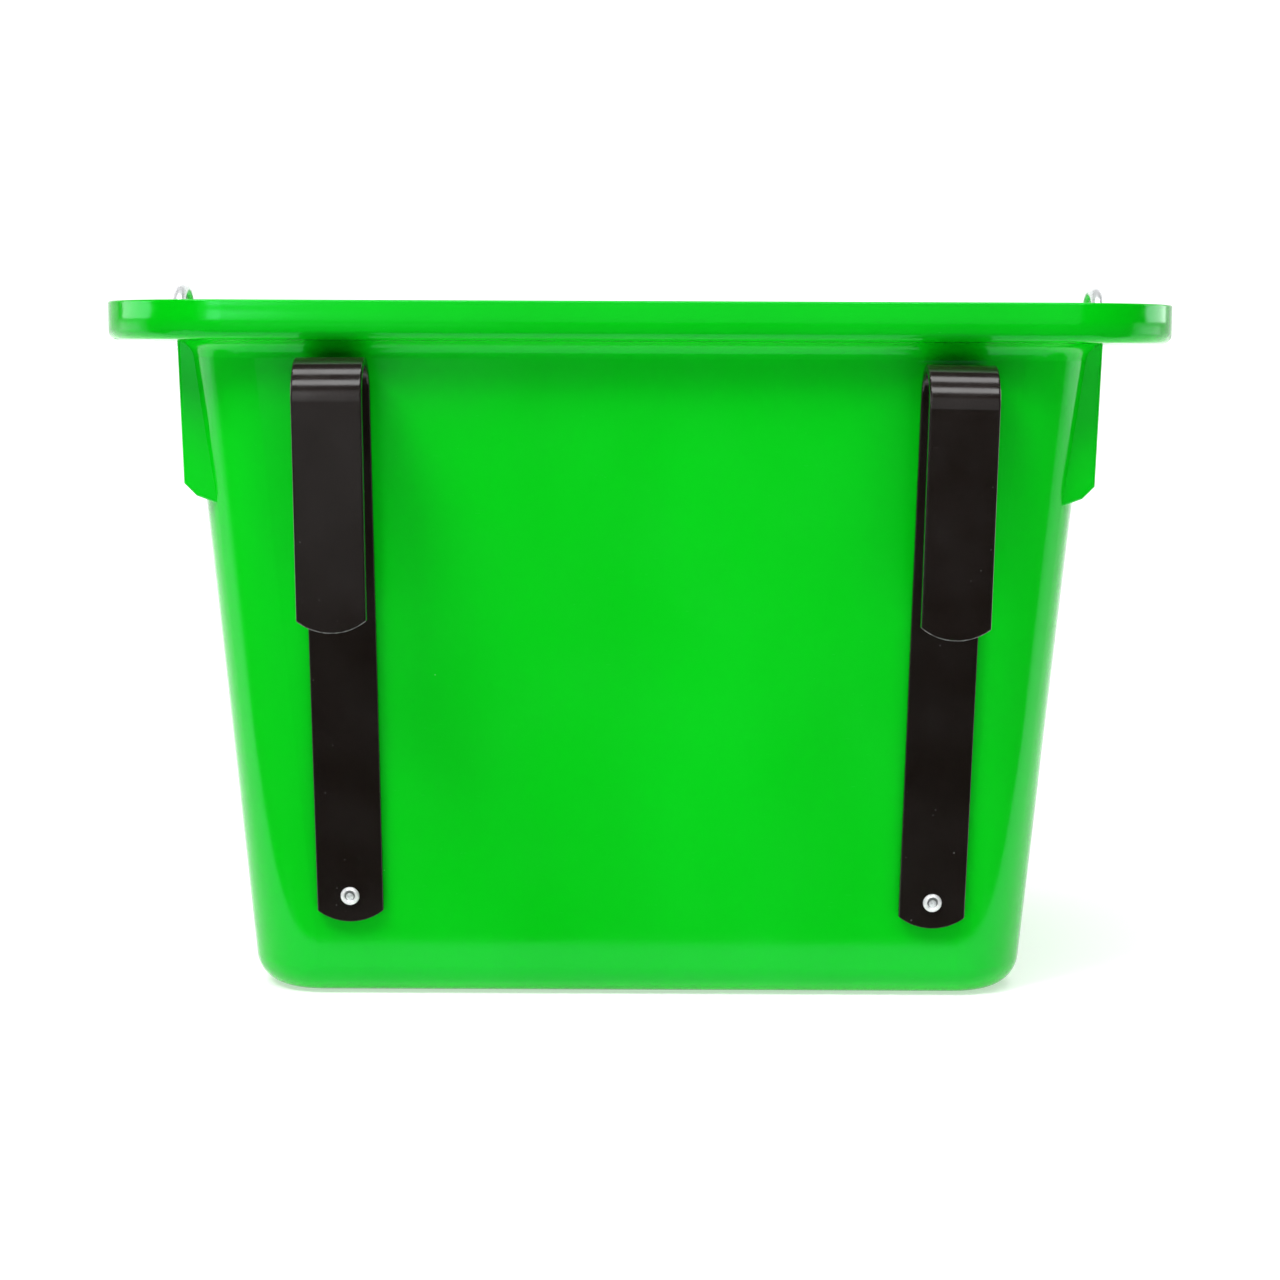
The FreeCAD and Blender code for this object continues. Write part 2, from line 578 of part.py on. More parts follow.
def make_rivet(name, frame):
    """Build a set blind rivet: dished dome head, shank and the bulb that its mandrel formed."""
    head, bulb = "Sizes.rivet_head / 2", "Sizes.rivet_bulb / 2"
    dish, shank, bore = "Sizes.rivet_dish / 2", "Sizes.rivet_shank / 2", "Sizes.rivet_bore / 2"
    outline = [
        (bore, head_level(0.45)),
        (dish, head_level(0.8)),
        (f"{dish} + Sizes.rivet_crest", head_level(1)),
        (f"{head} - Sizes.rivet_shoulder", head_level(0.92)),
        (f"{head} - Sizes.rivet_side", head_level(0.6)),
        (head, HEAD_FACE),
        (shank, HEAD_FACE),
        (shank, STACK_END),
        (f"{bulb} - Sizes.bulb_edge", STACK_END),
        (bulb, f"{STACK_END} + Sizes.bulb_swell"),
        (f"{bulb} - Sizes.bulb_edge", f"{STACK_END} + Sizes.bulb_shoulder"),
        (shank, f"{BULB_END} - Sizes.bulb_swell"),
        (shank, BULB_END),
        (bore, BULB_END),
    ]
    return turned(f"{name}_rivet", outline, frame)


def make_mandrel(name, frame):
    """Build what is left of a rivet's mandrel: a snapped stem with its head past the bulb."""
    stem = "(Sizes.rivet_bore / 2 - Sizes.mandrel_gap)"
    head = "(Sizes.rivet_shank / 2 - Sizes.mandrel_gap)"
    seat = f"{BULB_END} + Sizes.mandrel_gap"
    outline = [
        ("0", head_level(0.8)),
        (f"{stem} * 0.55", head_level(0.76)),
        (stem, head_level(0.62)),
        (stem, seat),
        (head, seat),
        (head, f"{BULB_END} + Sizes.stem_head"),
        (f"{stem} * 0.7", f"{BULB_END} + Sizes.stem_crown"),
        ("0", f"{BULB_END} + Sizes.stem_crown"),
    ]
    return turned(f"{name}_mandrel", outline, frame)


def make_washer(name, frame):
    """Build the plain washer that spreads a rivet's bulb over the plastic wall."""
    hole, edge = "Sizes.rivet_hole / 2 + Sizes.washer_play", "Sizes.washer_size / 2"
    outline = [
        (hole, WALL_DEPTH),
        (edge, WALL_DEPTH),
        (edge, f"{STACK_END} - Sizes.washer_bevel"),
        (f"{edge} - Sizes.washer_bevel", STACK_END),
        (hole, STACK_END),
    ]
    return turned(f"{name}_washer", outline, frame)


def bail_route(body):
    """Sketch the bail's wire, lying flat: forward from one eye, across and back to the other."""
    sketch = new_sketch(body, "wire_route")
    half, eye = size("bail_half"), size("bail_eye")
    reach, corner = size("bail_reach"), size("bail_corner")
    stops = [Vector(-half, eye, 0), Vector(-half, reach - corner, 0), Vector(-half + corner, reach, 0),
             Vector(half - corner, reach, 0), Vector(half, reach - corner, 0), Vector(half, eye, 0)]
    sketch.addGeometry(Part.LineSegment(stops[0], stops[1]), False)
    left = Part.Circle(Vector(-half + corner, reach - corner, 0), Vector(0, 0, 1), corner)
    sketch.addGeometry(Part.ArcOfCircle(left, math.pi / 2, math.pi), False)
    sketch.addGeometry(Part.LineSegment(stops[2], stops[3]), False)
    right = Part.Circle(Vector(half - corner, reach - corner, 0), Vector(0, 0, 1), corner)
    sketch.addGeometry(Part.ArcOfCircle(right, 0, math.pi / 2), False)
    sketch.addGeometry(Part.LineSegment(stops[4], stops[5]), False)
    for kind, line in (("Vertical", 0), ("Horizontal", 2), ("Vertical", 4)):
        sketch.addConstraint(Sketcher.Constraint(kind, line))
    # An arc's first point is its clockwise end.
    joints = ((0, 2, 1, 2), (1, 1, 2, 1), (2, 2, 3, 2), (3, 1, 4, 1))
    for joint in joints:
        sketch.addConstraint(Sketcher.Constraint("Tangent", *joint))
    sketch.addConstraint(Sketcher.Constraint("Equal", 1, 3))
    bind(sketch, "left", Sketcher.Constraint("DistanceX", -1, 1, 0, 1, -half), "-Sizes.bail_half")
    bind(sketch, "right", Sketcher.Constraint("DistanceX", -1, 1, 4, 2, half), "Sizes.bail_half")
    bind(sketch, "from", Sketcher.Constraint("DistanceY", -1, 1, 0, 1, eye), "Sizes.bail_eye")
    bind(sketch, "upto", Sketcher.Constraint("DistanceY", -1, 1, 4, 2, eye), "Sizes.bail_eye")
    bind(sketch, "reach", Sketcher.Constraint("DistanceY", -1, 1, 2, 1, reach), "Sizes.bail_reach")
    bind(sketch, "corner", Sketcher.Constraint("Radius", 1, corner), "Sizes.bail_corner")
    return sketch


def make_bail():
    """Build the wire bail with an eye at each end, folded forward to rest on the front ledge."""
    body = new_body("bail_handle")
    route = bail_route(body)
    section = new_sketch(body, "wire_section", "XZ_Plane", offset="-Sizes.bail_eye")
    centre = Vector(-size("bail_half"), 0, 0)
    circle = Part.Circle(centre, Vector(0, 0, 1), size("bail_wire") / 2)
    section.addGeometry(circle, False)
    section.addConstraint(Sketcher.Constraint("PointOnObject", 0, 3, -1))
    bind(section, "place", Sketcher.Constraint("DistanceX", -1, 1, 0, 3, centre.x),
         "-Sizes.bail_half")
    bind(section, "wire", Sketcher.Constraint("Radius", 0, size("bail_wire") / 2),
         "Sizes.bail_wire / 2")
    doc.recompute()
    add_feature(body, "PartDesign::AdditivePipe", "wire", Profile=section, Spine=(route, []))
    for side, offset in (("left", "-Sizes.bail_half"), ("right", "Sizes.bail_half")):
        eye = add_feature(body, "PartDesign::AdditiveTorus", f"{side}_eye",
                          Radius1="=Sizes.bail_eye", Radius2="=Sizes.eye_wire / 2")
        eye.AttachmentSupport = (origin_plane(body, "YZ_Plane"), [""])
        eye.MapMode = "FlatFace"
        eye.setExpression("AttachmentOffset.Base.z", offset)
        doc.recompute()
    body.Placement = Placement(PIVOT, Rotation(Vector(1, 0, 0), -size("bail_droop")))
    return body


def check_document(pieces):
    """Stop if any object of the document failed, or any piece isn't one valid solid."""
    doc.recompute()
    for item in doc.Objects:
        if {"Invalid", "Error"} & set(item.State):
            raise RuntimeError(f"{item.Name}: {item.State}")
    for piece in pieces:
        shape = piece.Shape
        if shape.isNull() or not shape.isValid() or len(shape.Solids) != 1:
            raise RuntimeError(f"{piece.Label}: not one valid solid")


def build():
    """Build every piece and write one STEP file for each."""
    pieces = [make_tub(), make_bail()]
    for side, frame in hook_frames():
        pieces.append(make_hook(side, frame))
    for name, frame in rivet_places():
        pieces += [make_rivet(name, frame), make_mandrel(name, frame), make_washer(name, frame)]
    check_document(pieces)
    os.makedirs("parts", exist_ok=True)
    for piece in pieces:
        piece.Shape.exportStep(f"parts/{piece.Label}.step")
        box = piece.Shape.BoundBox
        print(f"{piece.Label}: {piece.Shape.Volume:.0f} mm3, "
              f"x {box.XMin:.1f} {box.XMax:.1f}, y {box.YMin:.1f} {box.YMax:.1f}, "
              f"z {box.ZMin:.1f} {box.ZMax:.1f}")


build()
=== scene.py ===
import math

import bpy
from mathutils import Matrix, Vector


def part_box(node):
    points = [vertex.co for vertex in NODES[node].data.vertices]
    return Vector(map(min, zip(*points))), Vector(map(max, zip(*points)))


# Looks of a hook-on feed bucket: glossy green moulded tub, black painted flat steel hooks, blind
# rivets with backing washers, and a zinc-plated wire bail folded forward on the front ledge.
# Metres, in the CAD frame: +X right seen from the hooks, -Y the hook side, +Z up.

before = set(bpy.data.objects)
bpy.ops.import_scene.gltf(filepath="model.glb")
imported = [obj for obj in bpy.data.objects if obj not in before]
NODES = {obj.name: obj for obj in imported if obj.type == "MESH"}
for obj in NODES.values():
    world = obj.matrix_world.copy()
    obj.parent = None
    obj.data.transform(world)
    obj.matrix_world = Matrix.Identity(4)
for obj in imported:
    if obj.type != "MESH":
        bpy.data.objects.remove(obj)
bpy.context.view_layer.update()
MM = 0.001
LIP_HEIGHT = 14.4 * MM      # from the lip's lower edge to its top
LIP_CROWN = 0.8 * MM        # how far the lip's face swells out at the middle of its height
OUTER_LEG = 12 * MM         # depth from the hooks' outermost face that a board rubs
RUB_FADE = 4 * MM           # depth over which that rubbing fades out
DISH_EDGE = 2.1 * MM        # radius of the dish in a rivet's head
TURNING_PITCH = 0.16 * MM   # spacing of the turned rings on a rivet
FLOOR_SPLIT = -0.17         # the front floor ends here, under the hooks, and the rest begins
FLOOR_REACH = 6.0           # how far the floor goes to each side and to the front


# ---------------------------------------------------------------------------------------------
# Node helpers
# ---------------------------------------------------------------------------------------------

def new_material(name):
    """Make an empty node material and return it with its tree, shader and object coordinates."""
    material = bpy.data.materials.new(name)
    material.use_nodes = True
    tree = material.node_tree
    tree.nodes.clear()
    output = tree.nodes.new("ShaderNodeOutputMaterial")
    shader = tree.nodes.new("ShaderNodeBsdfPrincipled")
    tree.links.new(shader.outputs["BSDF"], output.inputs["Surface"])
    place = tree.nodes.new("ShaderNodeTexCoord").outputs["Object"]
    return material, tree, shader, place


def node(tree, kind, inputs=None, **properties):
    """Add a node. An input given a socket is linked to it, and one given a value is set to it."""
    made = tree.nodes.new(kind)
    for key, value in properties.items():
        setattr(made, key, value)
    for key, value in (inputs or {}).items():
        if isinstance(value, bpy.types.NodeSocket):
            tree.links.new(value, made.inputs[key])
        else:
            made.inputs[key].default_value = value
    return made


def noise(tree, place, size, detail=3.0, roughness=0.55):
    """Give a noise whose features are about the given size in metres."""
    made = node(tree, "ShaderNodeTexNoise", {
        "Vector": place, "Scale": 1.0 / size, "Detail": detail, "Roughness": roughness})
    return made.outputs["Fac"]


def stretched(tree, place, scale, turn=(0.0, 0.0, 0.0)):
    """Give coordinates that are turned and scaled, to draw features out along one way."""
    made = node(tree, "ShaderNodeMapping", {"Vector": place, "Rotation": turn, "Scale": scale})
    return made.outputs["Vector"]


def span(tree, value, low, high, to_low=0.0, to_high=1.0):
    """Map a value from one range to another and hold it there."""
    made = node(tree, "ShaderNodeMapRange", {
        "Value": value, "From Min": low, "From Max": high, "To Min": to_low, "To Max": to_high})
    return made.outputs["Result"]


def maths(tree, operation, first, second=None):
    """Do one step of arithmetic on one or two values."""
    inputs = {0: first} if second is None else {0: first, 1: second}
    return node(tree, "ShaderNodeMath", inputs, operation=operation).outputs["Value"]


def blend(tree, factor, first, second):
    """Mix two colours."""
    made = node(tree, "ShaderNodeMix", {"Factor": factor}, data_type="RGBA")
    for socket, value in ((made.inputs[6], first), (made.inputs[7], second)):
        if isinstance(value, bpy.types.NodeSocket):
            tree.links.new(value, socket)
        else:
            socket.default_value = value
    return made.outputs[2]


def bump(tree, height, distance, below=None, strength=1.0):
    """Add a bump of the given height in metres over another bump's normal."""
    inputs = {"Height": height, "Distance": distance, "Strength": strength}
    if below is not None:
        inputs["Normal"] = below
    return node(tree, "ShaderNodeBump", inputs).outputs["Normal"]


def edge_mask(tree, radius, start=0.02, full=0.25):
    """Give 1 on sharp or tightly rounded edges and 0 on open faces."""
    soft = node(tree, "ShaderNodeBevel", {"Radius": radius}, samples=6).outputs["Normal"]
    true = node(tree, "ShaderNodeNewGeometry").outputs["Normal"]
    along = node(tree, "ShaderNodeVectorMath", {0: soft, 1: true}, operation="DOT_PRODUCT")
    turn = maths(tree, "SUBTRACT", 1.0, along.outputs["Value"])
    return span(tree, turn, start, full)


def specks(tree, place, cell, size, share):
    """Give small round specks: one in some of the cells, of the given size in metres."""
    dots = node(tree, "ShaderNodeTexVoronoi", {"Vector": place, "Scale": 1.0 / cell})
    near = span(tree, dots.outputs["Distance"], 0.5 * size / cell, 0.8 * size / cell, 1.0, 0.0)
    pick = node(tree, "ShaderNodeSeparateColor", {"Color": dots.outputs["Color"]})
    chosen = maths(tree, "LESS_THAN", pick.outputs["Red"], share)
    return maths(tree, "MULTIPLY", near, chosen)


def scratches(tree, place, turn, length, width, cover):
    """Give thin straight scratches that lie one way; cover is the share that shows."""
    along = stretched(tree, place, (1.0 / length, 1.0 / width, 1.0 / width), turn)
    grain = node(tree, "ShaderNodeTexNoise", {"Vector": along, "Scale": 1.0, "Detail": 2.0})
    line = span(tree, grain.outputs["Fac"], 0.69, 0.74)
    patch = span(tree, noise(tree, place, 14 * width), 1.0 - cover, 1.05 - cover)
    return maths(tree, "MULTIPLY", line, patch)


# ---------------------------------------------------------------------------------------------
# Materials
# ---------------------------------------------------------------------------------------------

def up_the_lip(tree, place):
    """Give the height on the lip: -1 at its lower edge and anywhere below it, 1 at its top."""
    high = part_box("tub")[1].z
    upright = node(tree, "ShaderNodeSeparateXYZ", {"Vector": place}).outputs["Z"]
    return span(tree, upright, high - LIP_HEIGHT, high, -1.0, 1.0)


def green_plastic():
    """Glossy bright green polypropylene, with faint flow shading, scuffs, dust, worn edges and a
    painted shade on the lip.
    """
    material, tree, shader, place = new_material("green_plastic_moulded")
    shader.inputs["IOR"].default_value = 1.49
    shader.inputs["Specular IOR Level"].default_value = 0.42
    shader.inputs["Specular Tint"].default_value = (0.40, 1.0, 0.90, 1.0)

    flow = noise(tree, stretched(tree, place, (1.0, 1.0, 0.35)), 90 * MM, 2.0)
    colour = blend(tree, span(tree, flow, 0.35, 0.65),
                   (0.0004, 0.50, 0.004, 1.0), (0.0006, 0.56, 0.006, 1.0))
    mottle = noise(tree, place, 2.2 * MM, 4.0)
    colour = blend(tree, span(tree, mottle, 0.35, 0.75, 0.0, 0.10), colour,
                   (0.004, 0.44, 0.012, 1.0))

    lip = up_the_lip(tree, place)
    # Painted shade: from just above the lip's lower edge up to the top, the green is mixed 30%
    # towards a darker green, to tone down the light that falls on the lip.
    colour = blend(tree, span(tree, lip, -1.0, -0.7, 0.0, 0.30), colour,
                   (0.0003, 0.29, 0.002, 1.0))

    edges = edge_mask(tree, 1.4 * MM)
    ragged = span(tree, noise(tree, place, 3 * MM, 5.0), 0.42, 0.62)
    wear = maths(tree, "MULTIPLY", edges, ragged)
    colour = blend(tree, maths(tree, "MULTIPLY", wear, 0.22), colour, (0.10, 0.64, 0.12, 1.0))

    scuffs = maths(tree, "MAXIMUM",
                   scratches(tree, place, (0.0, 1.45, 0.1), 26 * MM, 0.16 * MM, 0.40),
                   scratches(tree, place, (0.0, 0.5, 0.3), 12 * MM, 0.12 * MM, 0.36))
    colour = blend(tree, maths(tree, "MULTIPLY", scuffs, 0.16), colour, (0.07, 0.60, 0.09, 1.0))
    dust = specks(tree, place, 11 * MM, 0.34 * MM, 0.16)
    colour = blend(tree, maths(tree, "MULTIPLY", dust, 0.55), colour, (0.50, 0.72, 0.50, 1.0))
    tree.links.new(colour, shader.inputs["Base Color"])

    gloss = span(tree, noise(tree, place, 34 * MM, 4.0), 0.3, 0.7, 0.12, 0.16)
    gloss = maths(tree, "ADD", gloss, maths(tree, "MULTIPLY", scuffs, 0.22))
    gloss = maths(tree, "ADD", gloss, maths(tree, "MULTIPLY", wear, 0.06))
    gloss = maths(tree, "ADD", gloss, maths(tree, "MULTIPLY", dust, 0.35))
    tree.links.new(gloss, shader.inputs["Roughness"])

    crown = maths(tree, "SUBTRACT", 1.0, maths(tree, "POWER", lip, 2.0))
    normal = bump(tree, maths(tree, "POWER", crown, 2.0), LIP_CROWN)
    normal = bump(tree, noise(tree, place, 55 * MM, 1.0), 0.5 * MM, normal, 0.5)
    normal = bump(tree, noise(tree, place, 0.8 * MM, 3.0), 0.003 * MM, normal, 0.5)
    cut = maths(tree, "SUBTRACT", dust, scuffs)
    normal = bump(tree, cut, 0.02 * MM, normal, 0.6)
    tree.links.new(normal, shader.inputs["Normal"])
    return material


def black_paint():
    """Satin black powder coat, with orange peel, dust, and edges rubbed where a board is."""
    material, tree, shader, place = new_material("black_powder_coat")
    shader.inputs["IOR"].default_value = 1.5
    shader.inputs["Specular IOR Level"].default_value = 0.5

    tone = noise(tree, place, 24 * MM, 4.0)
    colour = blend(tree, span(tree, tone, 0.3, 0.7),
                   (0.0078, 0.0054, 0.0042, 1.0), (0.0125, 0.0098, 0.0088, 1.0))
    edges = edge_mask(tree, 0.9 * MM, 0.02, 0.16)
    ragged = span(tree, noise(tree, place, 2.2 * MM, 5.0), 0.34, 0.58, 0.25, 1.0)
    wear = maths(tree, "MULTIPLY", edges, ragged)
    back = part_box("left_hook")[0].y
    depth = node(tree, "ShaderNodeSeparateXYZ", {"Vector": place}).outputs["Y"]
    rubbed = span(tree, depth, back + OUTER_LEG, back + OUTER_LEG + RUB_FADE, 0.9, 0.2)
    wear = maths(tree, "MULTIPLY", wear, rubbed)
    colour = blend(tree, wear, colour, (0.26, 0.28, 0.27, 1.0))
    dust = maths(tree, "MAXIMUM", specks(tree, place, 3.4 * MM, 0.30 * MM, 0.22),
                 specks(tree, place, 7.5 * MM, 0.62 * MM, 0.10))
    colour = blend(tree, maths(tree, "MULTIPLY", dust, 0.16), colour, (0.30, 0.30, 0.29, 1.0))
    marks = scratches(tree, place, (0.0, 1.2, 0.2), 9 * MM, 0.12 * MM, 0.38)
    colour = blend(tree, maths(tree, "MULTIPLY", marks, 0.20), colour, (0.12, 0.12, 0.12, 1.0))
    tree.links.new(colour, shader.inputs["Base Color"])

    gloss = span(tree, noise(tree, place, 9 * MM, 4.0), 0.3, 0.7, 0.13, 0.21)
    gloss = maths(tree, "ADD", gloss, maths(tree, "MULTIPLY", dust, 0.3))
    tree.links.new(gloss, shader.inputs["Roughness"])

    normal = bump(tree, noise(tree, place, 1.1 * MM, 2.0), 0.03 * MM, strength=0.35)
    normal = bump(tree, maths(tree, "SUBTRACT", dust, marks), 0.03 * MM, normal, 0.5)
    tree.links.new(normal, shader.inputs["Normal"])
    return material


def plated_steel(name, light, dark, size, roughness, drawn, metallic=1.0):
    """Zinc-plated steel: spangled tone, dull patches and fine lines drawn out one way."""
    material, tree, shader, place = new_material(name)
    shader.inputs["Metallic"].default_value = metallic

    tone = noise(tree, place, size, 3.0, 0.5)
    colour = blend(tree, span(tree, tone, 0.35, 0.68), light, dark)
    bloom = span(tree, noise(tree, place, 3.0 * size, 4.0), 0.55, 0.75)
    colour = blend(tree, maths(tree, "MULTIPLY", bloom, 0.2), colour, (0.58, 0.59, 0.60, 1.0))
    edges = edge_mask(tree, 0.25 * MM, 0.03, 0.3)
    colour = blend(tree, maths(tree, "MULTIPLY", edges, 0.4), colour, (0.90, 0.90, 0.90, 1.0))
    tree.links.new(colour, shader.inputs["Base Color"])

    low, high = roughness
    gloss = span(tree, noise(tree, place, 0.6 * size, 3.0), 0.3, 0.7, low, high)
    gloss = maths(tree, "ADD", gloss, maths(tree, "MULTIPLY", bloom, 0.1))
    tree.links.new(gloss, shader.inputs["Roughness"])

    lines = noise(tree, stretched(tree, place, drawn), 1.0, 2.0)
    normal = bump(tree, lines, 0.012 * MM, strength=0.5)
    normal = bump(tree, noise(tree, place, 0.5 * MM, 3.0), 0.01 * MM, normal, 0.4)
    tree.links.new(normal, shader.inputs["Normal"])
    return material


def bright_rivet(name, centre):
    """Bright turned aluminium, with fine rings about the rivet's own centre and a painted shade
    inside the dish.
    """
    material, tree, shader, place = new_material(name)
    shader.inputs["Metallic"].default_value = 0.45
    offset = node(tree, "ShaderNodeVectorMath", {0: place, 1: centre}, operation="SUBTRACT")
    parts = node(tree, "ShaderNodeSeparateXYZ", {"Vector": offset.outputs["Vector"]})
    across = maths(tree, "POWER", parts.outputs["X"], 2.0)
    upright = maths(tree, "POWER", parts.outputs["Z"], 2.0)
    radius = maths(tree, "SQRT", maths(tree, "ADD", across, upright))
    rings = maths(tree, "SINE", maths(tree, "MULTIPLY", radius, 2.0 * math.pi / TURNING_PITCH))

    tone = noise(tree, place, 1.3 * MM, 4.0)
    colour = blend(tree, span(tree, tone, 0.35, 0.7),
                   (0.94, 0.94, 0.95, 1.0), (0.80, 0.81, 0.83, 1.0))
    grime = span(tree, noise(tree, place, 0.9 * MM, 4.0), 0.60, 0.78)
    colour = blend(tree, maths(tree, "MULTIPLY", grime, 0.5), colour, (0.30, 0.30, 0.31, 1.0))
    # Painted shade: inside the dish the colour is mixed 85% towards near black, fading out at the
    # dish's edge.
    dish_shade = span(tree, radius, DISH_EDGE - 0.15 * MM, DISH_EDGE + 0.05 * MM, 0.85, 0.0)
    colour = blend(tree, dish_shade, colour, (0.06, 0.065, 0.07, 1.0))
    tree.links.new(colour, shader.inputs["Base Color"])
    gloss = span(tree, noise(tree, place, 0.7 * MM, 3.0), 0.3, 0.7, 0.34, 0.48)
    tree.links.new(gloss, shader.inputs["Roughness"])
    normal = bump(tree, rings, 0.004 * MM, strength=0.5)
    normal = bump(tree, noise(tree, place, 0.35 * MM, 3.0), 0.008 * MM, normal, 0.5)
    tree.links.new(normal, shader.inputs["Normal"])
    return material


def assign(piece, material):
    """Give a piece one material in place of the plain one that it came with."""
    piece.data.materials.clear()
    piece.data.materials.append(material)


def finish_parts():
    """Put the detailed materials on the CAD pieces."""
    zinc_light, zinc_dark = (0.88, 0.89, 0.90, 1.0), (0.76, 0.78, 0.81, 1.0)
    wire = plated_steel("zinc_plated_wire", zinc_light, zinc_dark, 8 * MM, (0.22, 0.32),
                        (400.0, 60.0, 400.0), metallic=0.55)
    washer = plated_steel("zinc_plated_washer", zinc_light, zinc_dark, 2.2 * MM, (0.26, 0.42),
                          (2500.0, 2500.0, 300.0))
    stem = plated_steel("steel_stem", (0.88, 0.90, 0.92, 1.0), (0.62, 0.64, 0.67, 1.0),
                        0.7 * MM, (0.28, 0.45), (3000.0, 3000.0, 3000.0), metallic=0.5)
    assign(NODES["tub"], green_plastic())
    assign(NODES["bail_handle"], wire)
    paint = black_paint()
    for side in ("left", "right"):
        assign(NODES[f"{side}_hook"], paint)
        for level in ("upper", "lower"):
            name = f"{side}_{level}"
            low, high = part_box(f"{name}_rivet")
            rivet = bright_rivet(f"bright_{name}_rivet", (low + high) / 2)
            assign(NODES[f"{name}_rivet"], rivet)
            assign(NODES[f"{name}_mandrel"], stem)
            assign(NODES[f"{name}_washer"], washer)


# ---------------------------------------------------------------------------------------------
# Studio
# ---------------------------------------------------------------------------------------------

def floor_material():
    """Pale matt floor that glows a little, as a lit table does, so that shadows stay faint."""
    material, tree, shader, place = new_material("pale_floor")
    tone = span(tree, noise(tree, place, 0.4, 3.0), 0.3, 0.7)
    colour = blend(tree, tone, (0.60, 0.60, 0.60, 1.0), (0.64, 0.64, 0.64, 1.0))
    tree.links.new(colour, shader.inputs["Base Color"])
    shader.inputs["Roughness"].default_value = 0.9
    shader.inputs["Specular IOR Level"].default_value = 0.1
    shader.inputs["Emission Color"].default_value = (1.0, 1.0, 1.0, 1.0)
    shader.inputs["Emission Strength"].default_value = 0.5
    return material


def backdrop_profile():
    """Give the floor from the bucket on, and its curved backdrop, as (y, z) points."""
    bend_at, bend, top, steps = 2.6, 1.2, 5.0, 16
    profile = [(FLOOR_SPLIT, 0.0), (bend_at, 0.0)]
    for step in range(1, steps + 1):
        turn = step / steps * math.pi / 2
        profile.append((bend_at + bend * math.sin(turn), bend * (1 - math.cos(turn))))
    profile.append((bend_at + bend, top))
    return profile


def make_sheet(name, profile, material):
    """Lay one smooth sheet of the set along a profile of (y, z) points."""
    points = [(side * FLOOR_REACH, y, z) for y, z in profile for side in (-1, 1)]
    faces = [(2 * row, 2 * row + 1, 2 * row + 3, 2 * row + 2) for row in range(len(profile) - 1)]
    mesh = bpy.data.meshes.new(name)
    mesh.from_pydata(points, [], faces)
    mesh.shade_smooth()
    sheet = bpy.data.objects.new(name, mesh)
    bpy.context.scene.collection.objects.link(sheet)
    mesh.materials.append(material)
    return sheet


def make_floor():
    """Lay a pale floor and backdrop. Glossy faces mirror no floor in front of the bucket."""
    material = floor_material()
    make_sheet("floor", backdrop_profile(), material)
    front = make_sheet("front_floor", [(-FLOOR_REACH, 0.0), (FLOOR_SPLIT, 0.0)], material)
    front.visible_glossy = False


def soft_box(name, place, target, width, height, power, glossy=True, diffuse=True):
    """Hang a rectangular soft light that faces a point."""
    data = bpy.data.lights.new(name, "AREA")
    data.shape = "RECTANGLE"
    data.size = width
    data.size_y = height
    data.energy = power
    light = bpy.data.objects.new(name, data)
    bpy.context.scene.collection.objects.link(light)
    way = Vector(target) - Vector(place)
    light.location = place
    light.rotation_euler = way.to_track_quat("-Z", "Y").to_euler()
    light.visible_glossy = glossy
    light.visible_diffuse = diffuse


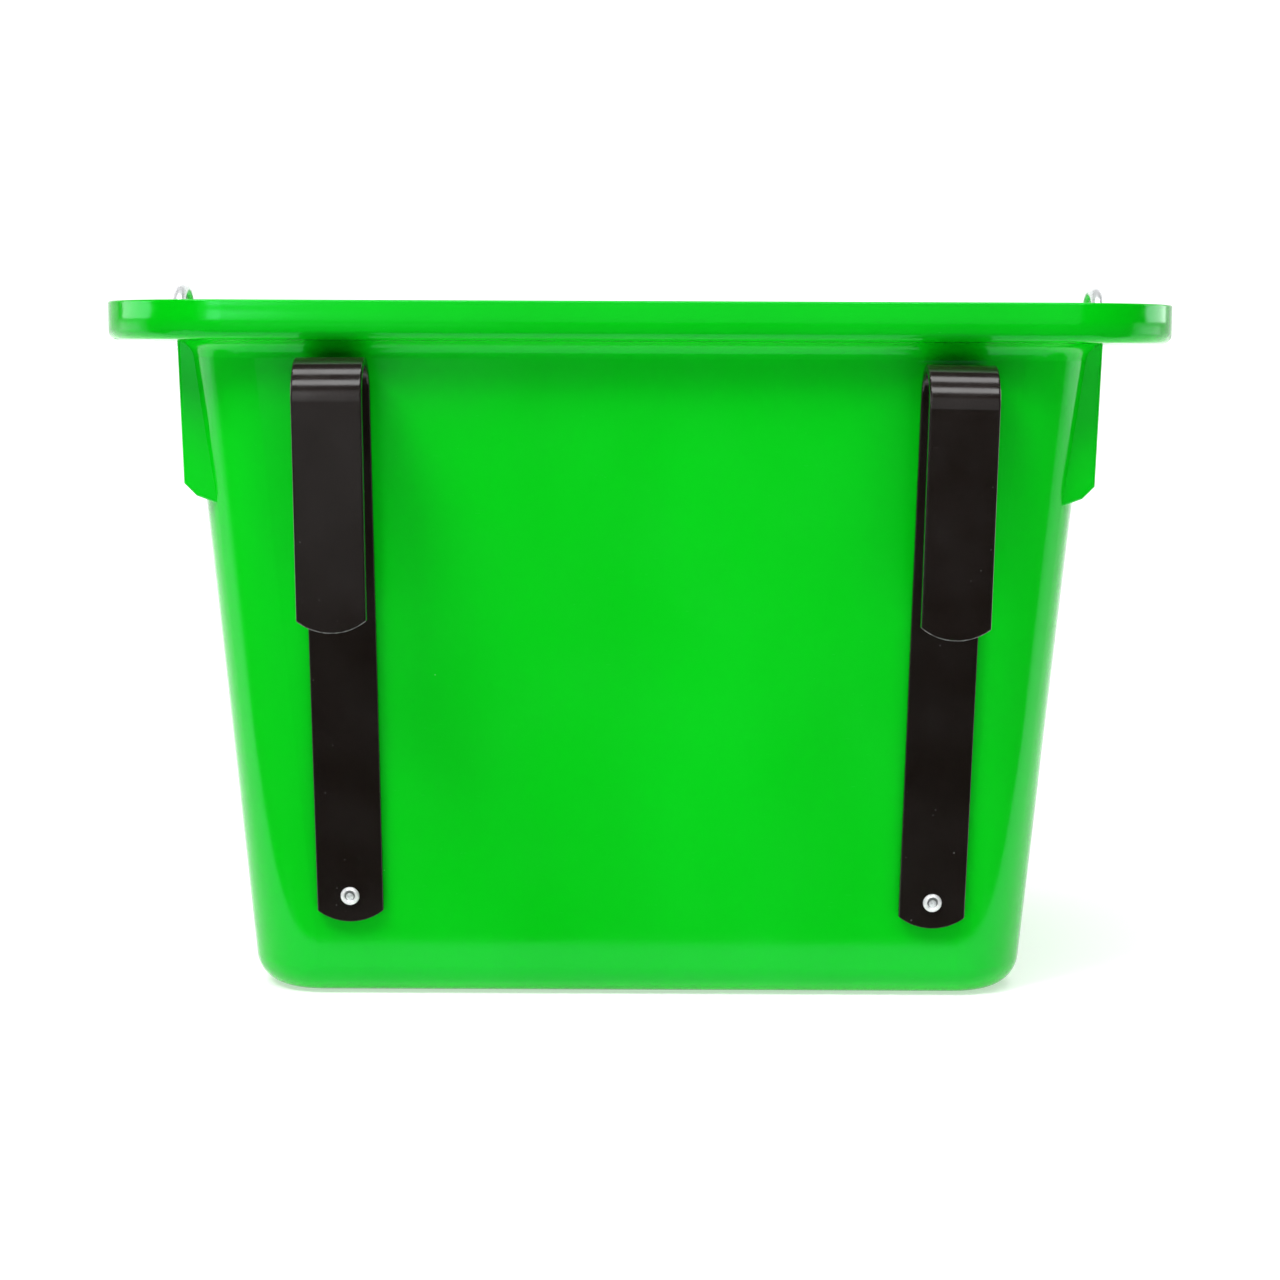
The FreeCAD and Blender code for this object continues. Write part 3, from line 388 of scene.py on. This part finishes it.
def light_studio():
    """Light the set evenly, and hang the panels that the gloss mirrors as bands."""
    middle, low_side, lip_side = (0.0, -0.14, 0.13), (0.0, 0.0, 0.1), (0.0, 0.0, 0.26)
    # The even light: a key from the left, a fill from the right, and the rest from above.
    for name, place, target, width, height, power in (
            ("key", (-1.0, -1.15, 1.95), middle, 0.8, 0.8, 44.0),
            ("fill", (1.2, -1.4, 1.9), middle, 1.2, 1.2, 12.0),
            ("high_light", (0.1, -1.05, 2.1), middle, 1.8, 0.7, 24.0),
            ("top_light", (0.0, 0.1, 2.1), (0.0, 0.0, 0.0), 2.2, 1.4, 14.0),
            ("front_light", (0.0, 2.0, 1.5), (0.0, 0.1, 0.13), 2.0, 1.2, 16.0),
            ("backdrop_light", (0.0, 1.2, 2.4), (0.0, 3.4, 0.9), 3.0, 1.0, 80.0)):
        soft_box(name, place, target, width, height, power, glossy=False)
    # The panels that the gloss mirrors: both sides, left front, overhead, low down and far ahead.
    for name, place, target, width, height, power in (
            ("left_panel", (-1.4, 0.1, 0.0), low_side, 0.9, 0.6, 1.4),
            ("left_end_panel", (-1.4, 0.0, 0.56), lip_side, 0.9, 0.5, 5.0),
            ("right_panel", (1.4, 0.1, 0.0), low_side, 0.9, 0.6, 1.8),
            ("right_end_panel", (1.4, 0.45, 0.56), lip_side, 0.9, 0.5, 5.0),
            ("front_panel", (-0.52, -1.5, 0.5), middle, 0.30, 0.46, 1.8),
            ("hook_panel", (-0.30, -1.6, 0.0), (-0.11, -0.17, 0.2), 0.32, 0.20, 0.08),
            ("over_panel", (0.0, -1.0, 1.1), middle, 1.6, 0.30, 9.0),
            ("high_panel", (0.0, -0.35, 1.4), middle, 1.6, 0.35, 9.0),
            ("low_panel", (0.0, -0.47, -0.4), (0.0, -0.4, 0.3), 1.5, 0.50, 3.0),
            ("far_panel", (0.0, -2.6, 0.7), middle, 3.0, 1.2, 6.0)):
        soft_box(name, place, target, width, height, power, diffuse=False)
    # A plain white surround for the camera alone.
    world = bpy.data.worlds.new("studio")
    world.use_nodes = True
    background = world.node_tree.nodes["Background"]
    background.inputs["Color"].default_value = (1.0, 1.0, 1.0, 1.0)
    background.inputs["Strength"].default_value = 0.9
    bpy.context.scene.world = world
    world.cycles_visibility.diffuse = False
    world.cycles_visibility.glossy = False


def place_camera():
    """Look at the hook side from a little above the lip, tilted slightly down."""
    tub_low, tub_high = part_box("tub")
    distance, drop = 887 * MM, 20.4 * MM
    tilt, roll = math.radians(6.6), math.radians(0.23)
    data = bpy.data.cameras.new("camera")
    data.sensor_width = 36.0
    data.lens = 68.6
    data.shift_x = 0.0009
    camera = bpy.data.objects.new("camera", data)
    bpy.context.scene.collection.objects.link(camera)
    place = Vector((0.0, tub_low.y - distance, tub_high.z - drop))
    aim = Matrix.Rotation(math.pi / 2 - tilt, 4, "X") @ Matrix.Rotation(roll, 4, "Z")
    camera.matrix_world = Matrix.Translation(place) @ aim
    bpy.context.scene.camera = camera


def set_look():
    """Show colours as they are, without film toning."""
    view = bpy.context.scene.view_settings
    view.view_transform = "Standard"
    view.look = "None"


finish_parts()
make_floor()
light_studio()
place_camera()
set_look()
